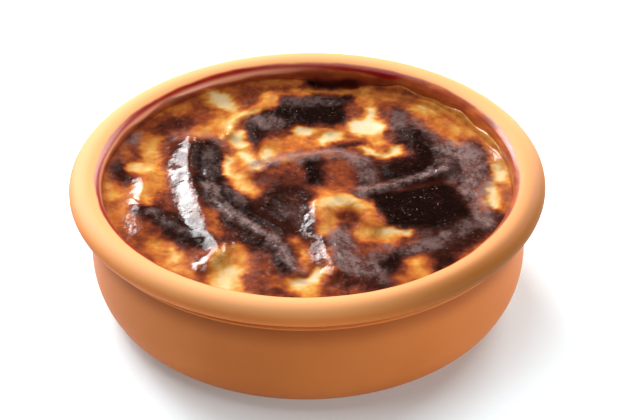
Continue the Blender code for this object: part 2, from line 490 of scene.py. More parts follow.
# Each fold: crest points, rise, half width on the left and on the right of the way that they run.
FOLDS = (
    (((-31, 24.5), (-31.5, 16), (-31, 8), (-29, -1), (-27, -11), (-25, -20),
      (-22.5, -28)), 2.6, 2.2, 4.3),
    (((-21, -25), (-22.5, -29.5), (-26, -33.5)), 1.6, 1.6, 3.4),
    (((-42.5, 9), (-43, 2), (-44, -5), (-43.8, -12), (-42.5, -18)), 1.5, 3.0, 3.8),
    (((-27, 20), (-26.5, 12), (-26, 4), (-23.5, -4), (-19, -12), (-13, -18), (-9, -24), (-6, -31),
      (-2.5, -37)), 1.0, 2.1, 2.1),
    (((-22, 3), (-19, -4), (-14, -10), (-8, -17), (-4, -24)), 0.6, 1.6, 1.6),
    (((-15, 9), (-10, 12.5), (-4, 15), (2, 17), (8, 17), (12, 15), (16, 10),
      (17, 4)), 1.3, 1.6, 2.2),
    (((2, -16), (2.5, -9), (7, -4), (12, -5), (15.5, -10), (17, -17)), 1.9, 2.4, 2.8),
    (((4, -8), (3.5, -14), (4, -20), (5, -28), (6.5, -36)), 1.7, 2.6, 3.7),
    (((14, -3), (20, 0), (26, 2.5), (33, 5), (38, 9), (39, 13)), 1.6, 2.0, 1.3),
    (((40, 12), (43, 6), (45, -2), (47, -12)), 1.0, 2.0, 1.8),
    (((26, 30), (32, 25), (36, 19), (36, 12), (35, 8)), 1.0, 1.8, 1.8),
    (((-10, 47), (-11.5, 42), (-17, 38), (-20, 34), (-20.5, 28)), 1.3, 1.6, 1.6),
    (((-40, -10), (-34, -16), (-29, -22)), 0.8, 1.8, 1.8),
)

# Each swell: the points of its middle line, its half width, and its rise, below zero for a hollow.
SWELLS = (
    (((-6, 41), (6, 36)), 9.0, 1.0), (((-13, 33), (-12, 26)), 4.0, 0.6),
    (((31, 24), (32, 14), (26, 10)), 6.0, 0.9), (((21, -4), (28, -8), (38, -12)), 8.5, 1.1),
    (((-6, 8), (4, 8), (9, 3), (0, -10), (-4, -18)), 7.5, 0.9),
    (((-39, -10), (-31, -20)), 6.0, 0.8), (((44, -17), (30, -29), (14, -41)), 6.0, 0.5),
    (((-36, 33), (-31, 33)), 4.5, 0.4), (((17, 37), (16, 31), (19, 26)), 4.5, -1.0),
    (((15, 19), (20, 15.5), (25, 21)), 2.2, -0.9), (((-9, 18), (-2, 28), (6, 26)), 3.0, -0.8),
    (((-18, 25), (-17, 18), (-13, 12)), 2.6, -0.8), (((-21, 15), (-21, 9)), 2.4, -0.7),
    (((15, -20), (26, -20)), 3.2, -0.8), (((-18, -28), (-20, -42)), 4.5, -0.8),
    (((-4, -42), (4, -36)), 2.6, -0.6), (((48, -8), (49, 8)), 3.0, -0.7),
    (((-45, 13), (-39, 24)), 4.0, -0.6), (((-37, -31), (-36, -22)), 4.0, -0.5),
    (((4, 51), (12, 51)), 2.8, -2.2), (((10.5, -12), (12, -18)), 2.9, -1.5),
)


def distance_to(x, y, path):
    """Distance from each place to the nearest step of the path, and the side: 1 left, -1 right."""
    nearest = np.full_like(x, np.inf)
    side = np.zeros_like(x)
    for (ax, ay), (bx, by) in zip(path[:-1], path[1:]):
        dx, dy = bx - ax, by - ay
        along = np.clip(((x - ax) * dx + (y - ay) * dy) / (dx * dx + dy * dy), 0, 1)
        off_x, off_y = x - ax - along * dx, y - ay - along * dy
        gap = np.hypot(off_x, off_y)
        closer = gap < nearest
        turned = (dx * off_y - dy * off_x) / (math.hypot(dx, dy) * np.maximum(gap, 1e-9))
        nearest = np.where(closer, gap, nearest)
        side = np.where(closer, turned, side)
    return nearest, side


def main_relief(x, y):
    """Sum of bell-shaped folds and flat-topped swells, in millimetres above the skin's level."""
    x, y = bend(x, y, FOLD_BEND)
    relief = np.zeros_like(x)
    for points, rise, left, right in FOLDS:
        gap, side = distance_to(x, y, smooth_path(points))
        width = (left + right) / 2 + (left - right) / 2 * side
        relief += rise * np.exp(-(gap / width) ** 2)
    for points, width, rise in SWELLS:
        gap = distance_to(x, y, smooth_path(points))[0]
        relief += rise * np.exp(-(gap / width) ** 3)
    return relief


print("folds:", len(FOLDS), "swells and hollows:", len(SWELLS))

# %% [markdown]
# Browning is painted the way the oven does it, in layers over an amber ground: broad patches of
# half-dark skin first, then thick dark skin, then rust-coloured fringes, and last the golden and
# cream places where milk and rice broke through. Each stroke is a line, a half width and a level
# from 0, cream, to 1, nearly black. A level that changes softly at a stroke's edge passes through
# gold and rust by itself. Grey bloom, which is partly painted sheen, and gloss are strokes too,
# with a strength for a level.

# %% Browning strokes
CREAM, STRAW, GOLD, AMBER, RUST, BROWN, DARK, BLACK = 0.06, 0.16, 0.30, 0.40, 0.60, 0.72, 0.86, 1.0

# Broad patches of half-dark skin, which lie under everything else.
DEEP_SKIN = (
    (((8, -38), (20, -32), (33, -25), (42, -14), (45, 0)), 5.5, 0.8),
    (((17, -8), (30, -15), (40, -10)), 7.0, 0.86),
    (((14, 8), (24, 9), (34, 12), (36, 22)), 6.0, 0.84), (((44, 18), (46, 6), (45, -8)), 3.5, 0.76),
    (((-14, -3), (-4, -8), (-2, -18), (-8, -28)), 6.5, 0.8),
    (((4, -24), (8, -36), (14, -42)), 4.5, 0.76),
    (((-26, 20), (-25, 4), (-18, -10), (-10, -24)), 4.5, 0.84),
    (((-34, 20), (-33, 4), (-29, -14)), 3.5, 0.74), (((-10, 34), (4, 41)), 7.5, 0.84),
    (((6, 12), (12, 14), (16, 8)), 3.5, 0.74), (((23, 40), (24, 28)), 3.0, 0.72),
    (((-44, 34), (-36, 35), (-28, 33)), 4.0, 0.7),
    (((-37.5, 22), (-37.5, 8), (-36, -6), (-33, -16)), 2.2, 0.66),
)

THICK_SKIN = (
    (((-4, 42), (2, 41), (9, 43)), 4.2, BLACK), (((-4, 38), (7, 37)), 5.0, BLACK),
    (((-12, 36), (-8, 33)), 3.8, 0.93), (((-14, 30), (-13, 24)), 2.5, 0.95),
    (((-34.5, 23), (-36, 15), (-36, 6), (-34.5, -3), (-32, -10), (-29.5, -18),
      (-26.5, -24)), 2.8, 0.82),
    (((-27, 21), (-26.5, 14), (-26, 6), (-23, -2), (-18, -8), (-13, -13)), 4.0, 0.97),
    (((-22, -14), (-16, -22), (-11, -28), (-6, -35)), 3.0, 0.93),
    (((-8, 4), (-4, -4), (-8, -10), (-4, -15)), 5.5, 0.92), (((1.5, 13), (2, 5)), 3.0, BLACK),
    (((16, 12), (16, 4)), 2.6, DARK), (((30, 25), (33, 18), (30, 11), (24, 8)), 4.8, 0.98),
    (((21, -5), (28, -4), (36, -2), (40, -8)), 4.5, BLACK), (((25, -12), (38, -12)), 6.0, BLACK),
    (((46, -14), (40, -22), (32, -29)), 5.0, 0.87), (((20, -35), (24, -31)), 3.5, 0.97),
    (((35, -32), (33, -36)), 3.0, 0.9), (((12, -42), (18, -42)), 3.5, DARK),
    (((9, -20), (8.5, -30), (12, -36)), 3.8, 0.82),
    (((-41, -8), (-37, -13), (-32, -19), (-29, -22)), 4.6, 0.93),
    (((-50, 12), (-49, 7)), 2.8, DARK), (((-39, 32.5), (-33, 33), (-28, 32)), 3.2, 0.77),
    (((25, 37), (24, 30)), 3.2, DARK), (((28, 29), (26, 24)), 3.0, 0.92),
    (((9, 20), (13, 22)), 1.8, DARK), (((2, 52.5), (13, 52.5)), 2.4, BLACK),
    (((45, 17), (46, 8), (43, 1), (44.5, -6), (47, -14)), 3.2, 0.78),
    (((35, 24), (39, 20), (43, 19)), 2.6, 0.8), (((38, 14), (39, 6)), 3.5, DARK),
    (((13, -2), (22, 1), (30, 4.5), (38, 9)), 1.6, 0.9),
)

RUSTY_SKIN = (
    (((-40, 42), (-36, 45)), 3.4, 0.5), (((-30, 40), (-29, 46)), 2.4, 0.62),
    (((-35, 46), (-31, 48)), 2.5, RUST), (((-42, 34), (-41, 38)), 2.5, 0.58),
    (((-46.5, 25), (-46, 21)), 2.0, 0.66), (((-45.5, 17.5), (-43, 16.5)), 1.8, BROWN),
    (((-27.5, 40), (-27.5, 34)), 1.8, RUST), (((-17, 50), (-14, 43)), 3.4, 0.58),
    (((-15.5, 48), (-14.8, 44)), 0.9, 0.68),
    (((-36, 27), (-31, 29), (-25, 27), (-21, 22)), 1.4, 0.62),
    (((-37, 24), (-37.2, 8), (-35.5, -4)), 1.3, 0.7), (((22, 41), (22, 30), (22.5, 24)), 1.6, 0.66),
    (((25, 43), (29, 40)), 2.2, RUST), (((13, 42), (12.5, 37)), 1.6, 0.64),
    (((9, 13), (9, 5)), 3.0, 0.64), (((-11, 10), (-11, 3)), 3.2, 0.73),
    (((-5, 10), (-4, 4)), 2.6, 0.75), (((-8.5, 10), (-6, 12)), 1.6, 0.62),
    (((-38.5, -1), (-36, -7)), 2.0, 0.68), (((-20, -20), (-21, -23)), 2.6, 0.78),
    (((-13, -31), (-13, -40), (-11, -45)), 3.6, 0.66), (((-8, -45), (-6, -46.5)), 2.2, 0.74),
    (((-29, -27), (-27.5, -31)), 1.8, 0.66), (((-27, -37), (-30, -36)), 2.4, 0.62),
    (((-46, -18), (-44, -26), (-40, -31)), 2.6, RUST), (((-42, -15), (-40, -19)), 2.0, 0.66),
    (((19, -26), (15, -27)), 3.2, 0.66), (((42, 24), (47, 24)), 2.0, 0.64),
    (((5, -46), (12, -45)), 2.4, 0.68), (((25, -38), (26, -32)), 1.4, RUST),
    (((31, -36), (30, -31)), 1.2, 0.62), (((45.5, -2), (46, -10)), 1.2, RUST),
    (((-3, -4), (-2, -17)), 2.2, 0.83), (((12, -12), (10, -17)), 2.0, BROWN),
    (((8, -10), (9, -13)), 1.5, RUST),
)

GOLDEN = (
    (((-27, 47), (-22, 42)), 3.0, 0.36), (((-24, 38), (-23.5, 34)), 2.0, AMBER),
    (((-36, 41), (-33, 42)), 1.8, 0.4), (((-41.5, 39), (-40, 41)), 1.2, 0.42),
    (((-29, 29.5), (-25, 31.5), (-23, 33)), 2.6, 0.36),
    (((-42, 25), (-41, 14), (-39.5, 3)), 2.8, 0.38), (((-42.5, 23), (-42, 19)), 1.8, 0.28),
    (((-10.3, 47), (-10, 43), (-13.5, 40)), 1.6, 0.33), (((-18, 7), (-17, 3), (-15, 0)), 2.6, 0.27),
    (((-9, 22), (-4, 24)), 3.0, AMBER), (((-4, 21), (0, 21)), 2.4, 0.5),
    (((2, 23), (3.5, 24)), 1.6, AMBER), (((18, 27.5), (19.5, 22.5)), 2.0, 0.32),
    (((16.5, 49), (17.5, 42)), 2.0, 0.38), (((20, 47), (24, 44)), 2.0, 0.42),
    (((4, -7.5), (9, -6.5), (14.5, -8)), 2.8, 0.33), (((4, -9), (5, -14), (4.5, -19)), 2.2, 0.36),
    (((14, -8), (16, -12), (17.5, -16)), 2.4, AMBER), (((14, -20.5), (20, -21)), 2.6, GOLD),
    (((-22, -27), (-21.5, -34)), 2.4, 0.27), (((-17.5, -26), (-17.5, -34)), 2.4, 0.39),
    (((-22, -38), (-20, -44)), 3.4, GOLD), (((-38, -25), (-34, -34)), 2.6, 0.46),
    (((-36.5, -33), (-31, -36)), 1.8, 0.4), (((-39.2, -22.5), (-39, -26.5)), 0.8, 0.3),
    (((-3, -43), (0, -45)), 2.6, 0.32), (((5, -27), (5.5, -36)), 1.1, 0.44),
    (((27.5, -33), (28, -38)), 2.2, 0.34), (((-52, 3), (-51, -1)), 2.2, 0.34),
    (((31, 40), (34, 38)), 2.8, 0.26), (((36, 33), (38, 27)), 2.6, 0.42),
    (((41, 28.5), (44, 27)), 2.4, 0.32), (((39, 24), (40, 22)), 1.6, 0.36),
    (((33, 44), (40, 37), (45, 31), (49, 24), (51, 16)), 2.2, 0.4),
    (((-2, 49.5), (8, 48.5), (16, 49)), 1.3, 0.34), (((-24.5, -9), (-23.5, -18)), 1.1, 0.44),
    (((-3.5, -22), (-3, -24)), 1.2, 0.42), (((-1.5, -27), (-1, -31)), 1.3, 0.36),
    (((-43.5, 2), (-42, -4)), 1.6, 0.32), (((50.5, 12), (51, 3)), 2.2, 0.36),
    (((48, 1), (49, -8)), 2.6, 0.36), (((-49, -4), (-50, -10)), 1.6, 0.46),
)

PALE = (
    (((-26, 50), (-25, 47.5)), 1.6, 0.12), (((-23.6, 46), (-22.5, 44)), 2.0, 0.08),
    (((-21.5, 42.5), (-20.5, 40.5)), 1.5, 0.14),
    (((-15, 39), (-18, 37.3), (-20, 34.5), (-21.3, 30)), 1.2, STRAW),
    (((-23, 27.5), (-23, 26.5)), 0.9, STRAW), (((-18.5, 27.5), (-17.7, 22.5)), 1.7, 0.1),
    (((-17, 18), (-13.5, 12)), 1.9, 0.1), (((-21.2, 15.5), (-20.8, 8.5)), 1.5, 0.13),
    (((-10.6, 19), (-10.6, 16.5)), 1.3, CREAM), (((-2, 29.5), (0, 28.5)), 1.9, CREAM),
    (((5, 24), (7.5, 26.5)), 1.9, CREAM), (((17.3, 39), (17.3, 35)), 1.5, CREAM),
    (((14.5, 31.5), (18.5, 31)), 2.9, 0.03), (((14, 29), (17.5, 28.5)), 2.1, CREAM),
    (((15.5, 19.3), (18.5, 17), (22, 16.6), (24.8, 20.5)), 1.0, CREAM),
    (((3, -6.5), (6, -4.5), (10.5, -4.5), (14, -7)), 1.8, 0.22), (((6, -5.5), (9, -5.5)), 1.3, 0.1),
    (((20.5, -19), (26, -19.8)), 1.5, CREAM), (((-19.5, -36.5), (-21.5, -42.5)), 2.4, 0.13),
    (((-23, -31), (-23.5, -33)), 1.0, 0.22), (((-34, -26.5), (-34, -30.5)), 1.1, 0.18),
    (((-3, -42), (1, -41), (3.3, -37.5)), 1.7, CREAM), (((48, -0.5), (48.3, -8)), 1.6, 0.1),
    (((51, 10), (51, 4)), 1.5, 0.1), (((-46, 12.5), (-43, 11.5)), 2.0, 0.2),
    # Last stroke: the lip's pale crinkle lines, partly their own colour and partly painted
    # highlight.
    (((30, 48), (36, 45.5), (38, 42.5), (41, 38), (45, 33.5), (48, 28), (51, 21)), 0.7, 0.3),
)

# Grey bloom, partly dried skin and partly painted sheen: a line, a half width and how strong it is.
BLOOM_AND_SHEEN = (
    (((-26, 20), (-26, 8)), 2.0, 0.35),
    (((-26, 4), (-24, -4), (-20, -10), (-15, -16), (-10, -21), (-7, -26), (-5, -32),
      (-2, -37)), 1.4, 0.95),
    (((-46, 28), (-46.5, 24)), 1.5, 0.8), (((-21, 2), (-17, -5)), 1.2, 0.5),
    (((-13, 35), (-9, 33)), 3.0, 0.55), (((-5, 44), (8, 44)), 2.5, 0.3),
    (((-14, 11.5), (-8, 14.5), (0, 16.5), (9, 17.5), (15, 13)), 2.4, 0.8),
    (((-36, 27), (-31, 28.5), (-25, 26), (-21, 21)), 1.5, 0.45), (((16, 13), (16.5, 4)), 1.6, 0.45),
    (((14, -1.5), (21, 1), (28, 4.5), (36, 9)), 1.7, 1.0),
    (((40, 21), (45, 17), (46, 8), (43.5, 0), (45, -8), (46.5, -17)), 2.2, 0.75),
    (((37, 12), (39, 4)), 2.4, 0.5), (((38, 20), (43, 16), (45.5, 6), (44, -2)), 3.4, 1.0),
    (((26, 37), (25, 31)), 2.4, 0.5), (((29, 33), (35, 25)), 1.8, 0.5),
    (((-41, -9), (-37, -13), (-33, -17.5)), 1.0, 0.7),
    (((8, -20), (9, -28), (11, -34), (15, -36)), 3.2, 0.8), (((-7, -9), (-4, -11.5)), 1.2, 0.35),
    (((16, -32), (20, -27)), 2.2, 0.5), (((25, -28), (33, -25), (42, -17)), 2.2, 0.55),
    (((18, -37), (19.5, -42)), 1.2, 0.5),
)

# Where fat and sugar left the skin glossy: a line, a half width and how strong it is.
GLOSS = (
    (((-32.7, 25), (-33.8, 18), (-34, 8), (-32.4, 0), (-31, -7), (-29, -14), (-27, -20),
      (-24, -25)), 3.0, 1.0),
    (((-22, -23), (-23.5, -28.5), (-27, -33)), 2.8, 1.25),
    (((-44.3, 6), (-45.3, -2), (-45.8, -7)), 1.9, 1.0),
    (((-45.8, -7), (-46, -13), (-44.5, -19)), 2.2, 0.62),
    (((2, -6), (1.2, -10), (1, -16), (1.8, -22), (2.8, -29), (4.2, -35)), 3.0, 0.8),
    (((-7, -9), (-3, -12), (-1, -16)), 2.0, 0.3), (((-21, 34), (-21.5, 28)), 1.0, 0.8),
    (((-27, 10), (-26, 3), (-24, -4), (-20, -10), (-15, -16), (-10, -21), (-6, -28),
      (-2, -37)), 1.4, 0.6),
    (((-13, 12), (-6, 15), (2, 17), (9, 17)), 1.5, 0.4),
    (((15, -1), (21, 1.3), (28, 4.8), (36, 9)), 1.4, 0.6),
    (((44, 18), (46, 8), (43.5, 0), (45, -8), (46.5, -17)), 2.2, 0.4),
    (((8, -24), (9, -31), (13, -36)), 3.0, 0.4),
    (((28, 49), (36, 45.5), (41, 39), (46, 32), (50, 22), (52, 12)), 2.0, 0.9),
)

# The layers of browning from the lowest up, each with half the width of its strokes' soft edge.
BROWNING_LAYERS = ((DEEP_SKIN, 4.0), (THICK_SKIN, 2.4), (RUSTY_SKIN, 2.2), (GOLDEN, 2.2),
                   (PALE, 1.7))
print("browning strokes:", sum(len(group) for group, soft in BROWNING_LAYERS))

# %% [markdown]
# The strokes were placed where the picture shows them, on a level plane at the skin's usual height.
# A point that lies higher or lower takes its browning from where the camera sees it on that plane,
# so that the strokes stay on the folds they belong to. Noise frays the edges of the browning and
# the bloom, and the gloss keeps its lines, because its material breaks it up into streaks.

# %% Painting the skin
GROUND = 0.5
STROKE_LEVEL = 31.0
BROWNING_BEND = ((0.9, 4.5, 1, 3), (0.5, 1.5, 2, 4))
BLOOM_AND_SHEEN_BEND = ((1.1, 3.2, 8, 10), (0.7, 1.2, 9, 12))
BLOOM_AND_SHEEN_SOFT = 1.5
GLOSS_SOFT = 2.0


def seen_place(x, y, z):
    """Where the camera's ray through a point meets the plane on which the strokes are drawn."""
    eye_x, eye_y, eye_z = (part / MM for part in CAMERA_PLACE)
    scale = (STROKE_LEVEL - eye_z) / (z - eye_z)
    return eye_x + (x - eye_x) * scale, eye_y + (y - eye_y) * scale


def stroke_mask(x, y, points, width, soft):
    """1 inside the stroke, 0 outside, with an eased edge that is twice soft wide."""
    gap = distance_to(x, y, smooth_path(points, 4))[0]
    return ease((width + soft - gap) / (2 * soft))


def paint_browning(x, y):
    """The browning level at each place: the strokes laid one over another on a noisy ground."""
    bent_x, bent_y = bend(x, y, BROWNING_BEND)
    level = GROUND + 0.14 * lattice_noise(x, y, 6.0, 5)
    for group, soft in BROWNING_LAYERS:
        for points, width, target in group:
            mask = stroke_mask(bent_x, bent_y, points, width, soft)
            level = level + (target - level) * mask
    mottling = 0.07 * lattice_noise(x, y, 2.6, 6) + 0.04 * lattice_noise(x, y, 1.1, 7)
    return np.clip(level + mottling * np.clip(5 * level * (1 - level), 0.15, 1), 0, 1)


def strongest_stroke(x, y, strokes, soft):
    """The strength of the strongest stroke at each place, and 0 outside them all."""
    strength = np.zeros_like(x)
    for points, width, peak in strokes:
        strength = np.maximum(strength, peak * stroke_mask(x, y, points, width, soft))
    return strength


print("bloom strokes:", len(BLOOM_AND_SHEEN), "gloss strokes:", len(GLOSS))

# %% [markdown]
# Under the skin lie grains of cooked rice, each six or seven millimetres long. They show as soft
# bumps where the skin is pale and thin, and hardly at all under the thick dark skin. The dark skin
# itself is crumpled into small creases.

# %% Rice bumps and creases
GRAIN_COUNT = 210
GRAIN_HALF_LENGTH = 3.2
GRAIN_HALF_WIDTH = 1.25
GRAIN_RISE = 0.22
GRAIN_REACH = 52
CREASE_BEND = ((1.2, 3.5, 21, 22),)


def rice_bumps(x, y):
    """Domed ovals at random places and turns; where two meet, the higher one shows."""
    random = np.random.default_rng(11)
    radius = GRAIN_REACH * np.sqrt(random.uniform(0, 1, GRAIN_COUNT))
    angle = random.uniform(0, 2 * math.pi, GRAIN_COUNT)
    turn = random.uniform(0, math.pi, GRAIN_COUNT)
    bumps = np.zeros_like(x)
    for gx, gy, way in zip(radius * np.cos(angle), radius * np.sin(angle), turn):
        along = ((x - gx) * math.cos(way) + (y - gy) * math.sin(way)) / GRAIN_HALF_LENGTH
        across = ((y - gy) * math.cos(way) - (x - gx) * math.sin(way)) / GRAIN_HALF_WIDTH
        bumps = np.maximum(bumps, 1 - along ** 2 - across ** 2)
    return GRAIN_RISE * ease(bumps)


def creases(x, y):
    """Sharp ridges where a bent noise passes zero, at two sizes, with shallow valleys between."""
    bent_x, bent_y = bend(x, y, CREASE_BEND)
    wide = 1 - np.abs(lattice_noise(bent_x, bent_y, 3.2, 23))
    fine = 1 - np.abs(lattice_noise(bent_x, bent_y, 1.4, 24))
    return 0.2 * (wide - 0.7) + 0.09 * (fine - 0.7)


def fine_relief(x, y, level):
    """What the browning adds: thick skin stands up and creases, thin skin shows its rice."""
    thick = ease((level - 0.5) / 0.3)
    return (0.2 * (level - 0.5) + creases(x, y) * (0.15 + 0.85 * thick)
            + rice_bumps(x, y) * (1 - 0.8 * thick))


print("rice grains under the skin:", GRAIN_COUNT)

# %% [markdown]
# The relief levels off softly, because skin stretches over a fold and doesn't stand up in a spike.
# Where it meets the wall the skin clings and climbs a little, more at the left back, and at the
# right back it stands up in a crinkled lip.

# %% Height of the skin
SKIN_LEVEL = 30.2
SKIN_REACH = 2.7
EDGE_CLIMB = 0.7
EDGE_CLIMB_WIDTH = 2.5
LIP_RISE = 2.0
LIP_WIDTH = 1.6

# The lip's crinkles run along the wall and sway as they go, and small nicks notch its edge.
CRINKLE, CRINKLE_WAVE, CRINKLE_SWAY, SWAYS_ROUND = 0.35, 3.6, 2.0, 9
NICK, NICKS_ROUND = 0.15, 31

# Where the edge climbs higher: the middle in degrees, and the cosine where it starts and its span.
RIGHT_BACK_LIP = (40, 0.8, 0.14)
LEFT_BACK_CLIMB = (145, 0.4, 0.4)


def skin_height(x, y, relief):
    """Height in millimetres: the relief levels off by a tanh, and the edge climbs as exp(-gap)."""
    gap = BORE_RADIUS - np.hypot(x, y)
    angle = np.arctan2(y, x)
    right_back = part_of_round(angle, *RIGHT_BACK_LIP)
    left_back = part_of_round(angle, *LEFT_BACK_CLIMB)
    sway = CRINKLE_SWAY * np.sin(SWAYS_ROUND * angle)
    nicks = NICK * np.sin(NICKS_ROUND * angle)
    crinkled = 1.0 + CRINKLE * np.cos(CRINKLE_WAVE * gap + sway) + nicks
    climb = (EDGE_CLIMB * np.exp(-gap / EDGE_CLIMB_WIDTH)
             + LIP_RISE * right_back * crinkled * np.exp(-gap / LIP_WIDTH)
             + LIP_RISE * left_back * np.exp(-gap / EDGE_CLIMB_WIDTH))
    return SKIN_LEVEL + SKIN_REACH * np.tanh(relief / SKIN_REACH) + climb


# %% [markdown]
# The pudding's top is a square grid of points carried onto a disc, so that its cells stay even from
# the middle to the wall. Rings of points carry its edge down the wall and round the dish's inner
# corner to the underside, which closes the piece.

# %% Pudding mesh
SKIN_CELLS = 290
SIDE_HEIGHTS = (27.0, 20.0, 16.5)
SIDE_GAP = 0.3
WALL_OVERLAP = 0.1


def square_to_disc(u, v):
    """Carry a square from -1 to 1 onto the unit disc: each ring of squares becomes a circle."""
    wide = np.abs(u) > np.abs(v)
    radius = np.where(wide, u, v)
    across = np.where(wide, v, u) / np.where(radius == 0, 1, radius) * math.pi / 4
    angle = np.where(wide, across, math.pi / 2 - across)
    return radius * np.cos(angle), radius * np.sin(angle)


def side_rings(angle):
    """Rings a little inside the dish's wall and its round inner corner, from the top down."""
    corner = arc((BORE_RADIUS - INNER_CORNER, FLOOR_THICKNESS + INNER_CORNER),
                 INNER_CORNER - SIDE_GAP, INNER_CORNER - SIDE_GAP, -15, -90, 6)
    wall = [(BORE_RADIUS - SIDE_GAP, height) for height in SIDE_HEIGHTS]
    radius, height = np.array(wall + corner.tolist()).T[:, :, None]
    return np.stack([radius * np.cos(angle), radius * np.sin(angle), height + 0 * angle], axis=-1)


def make_pudding():
    """The skin's grid, its rings down the wall and the middle point below, joined into one mesh."""
    count = SKIN_CELLS + 1
    v, u = np.meshgrid(np.linspace(-1, 1, count), np.linspace(-1, 1, count), indexing="ij")
    x, y = square_to_disc(u.ravel(), v.ravel())
    x, y = x * (BORE_RADIUS + WALL_OVERLAP), y * (BORE_RADIUS + WALL_OVERLAP)
    relief = main_relief(x, y)
    seen = seen_place(x, y, skin_height(x, y, relief))
    level = paint_browning(*seen)
    top = np.stack([x, y, skin_height(x, y, relief + fine_relief(x, y, level))], axis=1)
    number = np.arange(count * count).reshape(count, count)
    cells = np.stack([number[:-1, :-1], number[:-1, 1:], number[1:, 1:], number[1:, :-1]], axis=-1)
    loop = np.concatenate([number[0, :-1], number[:-1, -1], number[-1, :0:-1], number[:0:-1, 0]])

    rings = side_rings(np.arctan2(y[loop], x[loop]))
    points = np.vstack([top, rings.reshape(-1, 3), [[0, 0, rings[-1, 0, 2]]]]) * MM
    ring_number = len(top) + np.arange(rings.shape[0] * rings.shape[1]).reshape(rings.shape[:2])
    chain = np.vstack([loop, ring_number])
    quads = np.vstack([cells.reshape(-1, 4), ring_quads(chain[:-1], chain[1:])])
    last = chain[-1]
    fan = np.stack([np.full(len(last), len(points) - 1), np.roll(last, -1), last], axis=1)
    piece = make_piece("pudding_skin_and_rice", points, quads, fan)
    # Bloom strokes: partly dried skin and partly painted sheen.
    bloom = strongest_stroke(*bend(*seen, BLOOM_AND_SHEEN_BEND), BLOOM_AND_SHEEN, BLOOM_AND_SHEEN_SOFT)
    gloss = strongest_stroke(*seen, GLOSS, GLOSS_SOFT)
    below = np.zeros(len(points) - len(top))
    for name, values in (("browning", level), ("bloom", bloom), ("gloss", gloss)):
        add_layer(piece, name, np.concatenate([values, below]))
    print("skin from", round(top[:, 2].min(), 2), "to", round(top[:, 2].max(), 2), "mm high")
    return piece


pudding = make_pudding()

# %% [markdown]
# While it baked, milk rose and sank in the dish and left a film on the wall, browned like the skin
# beside it. The film is painted with the same strokes and ends in a ragged line, higher at the
# right. On the back wall it is seen from the camera's place, as the skin is. The front wall faces
# away from the camera, so there it is painted from the wall's own place, with some wander. Above
# the film a tan band of painted reflection runs round the left and the back.

# %% Film on the wall
FILM_TOP = 34.8
FILM_RAGGED = 0.9
FILM_SOFT = 0.9
FILM_RISE = 2.2
FILM_WANDER = 2.5
FILM_PALEST = 0.2
FILM_RANGE = 0.75
SHEEN_BAND_HEIGHT = 34.8
SHEEN_BAND_HALF_HEIGHT = 0.95
GLAZE_REACH = 2.5
BACK_START = -15
BACK_SPAN = 30

# Parts of the round: the middle in degrees, and the cosine where they start and their span.
FILM_HIGH_SIDE = (10, 0.55, 0.15)
SHEEN_BAND_SIDE = (142, 0.45, 0.4)


def add_wall_layers(piece):
    """Film: 1 below a ragged height. Painted reflection band: 1 near its height, left and back."""
    flat = np.empty(3 * len(piece.data.vertices), dtype=np.float32)
    piece.data.vertices.foreach_get("co", flat)
    x, y, z = flat.reshape(-1, 3).T.astype(float) / MM
    inside = np.hypot(x, y) < BORE_RADIUS + GLAZE_REACH
    angle = np.arctan2(y, x)
    ragged = (FILM_TOP + FILM_RISE * part_of_round(angle, *FILM_HIGH_SIDE)
              + FILM_RAGGED * lattice_noise(16 * angle, z, 3.0, 31))
    add_layer(piece, "film", inside * ease((ragged - z) / FILM_SOFT + 0.5))
    back = ease((y - BACK_START) / BACK_SPAN)
    seen_x, seen_y = seen_place(x, y, z)
    wander = FILM_WANDER * (1 - back) * lattice_noise(20 * angle, 1.4 * z, 2.2, 33)
    level = paint_browning(x + back * (seen_x - x) + wander, y + back * (seen_y - y) + wander)
    add_layer(piece, "film_level", FILM_PALEST + FILM_RANGE * level)
    # Painted reflection: a tan band near this height at the left and the back.
    band = part_of_round(angle, *SHEEN_BAND_SIDE) * ease(1.4 - np.abs(z - SHEEN_BAND_HEIGHT) / SHEEN_BAND_HALF_HEIGHT)
    add_layer(piece, "band", inside * band)
    print("film reaches", round(z[inside & (z < ragged)].max(), 1), "mm above the base")


add_wall_layers(dish)

# %% [markdown]
# One colour ramp holds the whole range of the oven, from cream over straw, gold and rust to nearly
# black. The skin and the film on the wall share it, each with a shade of its own.

# %% Oven colours
OVEN_COLOURS = (
    (0.0, (255, 234, 202)),
    (0.14, (253, 216, 152)),
    (0.30, (233, 165, 76)),
    (0.43, (208, 117, 52)),
    (0.57, (158, 76, 42)),
    (0.71, (108, 50, 35)),
    (0.85, (62, 29, 21)),
    (1.0, (25, 12, 9)),
)


def oven_colour(graph, level, shade):
    """The oven's colour for a browning level, all of it darkened by the shade."""
    stops = [(place, srgb(*seen, shade)) for place, seen in OVEN_COLOURS]
    return graph.node("ShaderNodeValToRGB", {"stops": stops}, {"Fac": level})


print("oven colours:", len(OVEN_COLOURS))

# %% [markdown]
# Fired clay is smooth to the hand but never one colour: iron makes slow clouds in it, dark grains
# sit in the surface, and the wheel leaves faint lines round it. Light and shade are painted on
# top: a painted highlight makes the crown of the rim paler, and painted shade darkens the strip
# under the bead and the outer face of the rim at the front right. Inside, a dark red-brown glaze
# starts just over the crown with an edge that wanders, and has a soft shine.

# %% Clay and glaze
FILM_SHADE = 0.95
GLAZE_RADIUS = 55.5 * MM
GLAZE_FLOOR = 22.0 * MM
CLAY, LIGHT_CLAY, CLAY_GRAIN = (200, 112, 51), (208, 120, 58), (140, 74, 40)
# Painted: a paler crown for highlight, a dark strip and side for shade.
LIT_CROWN_CLAY, UNDER_BEAD_SHADE_CLAY, SHADED_SIDE_CLAY = (212, 154, 100), (140, 66, 22), (146, 86, 32)
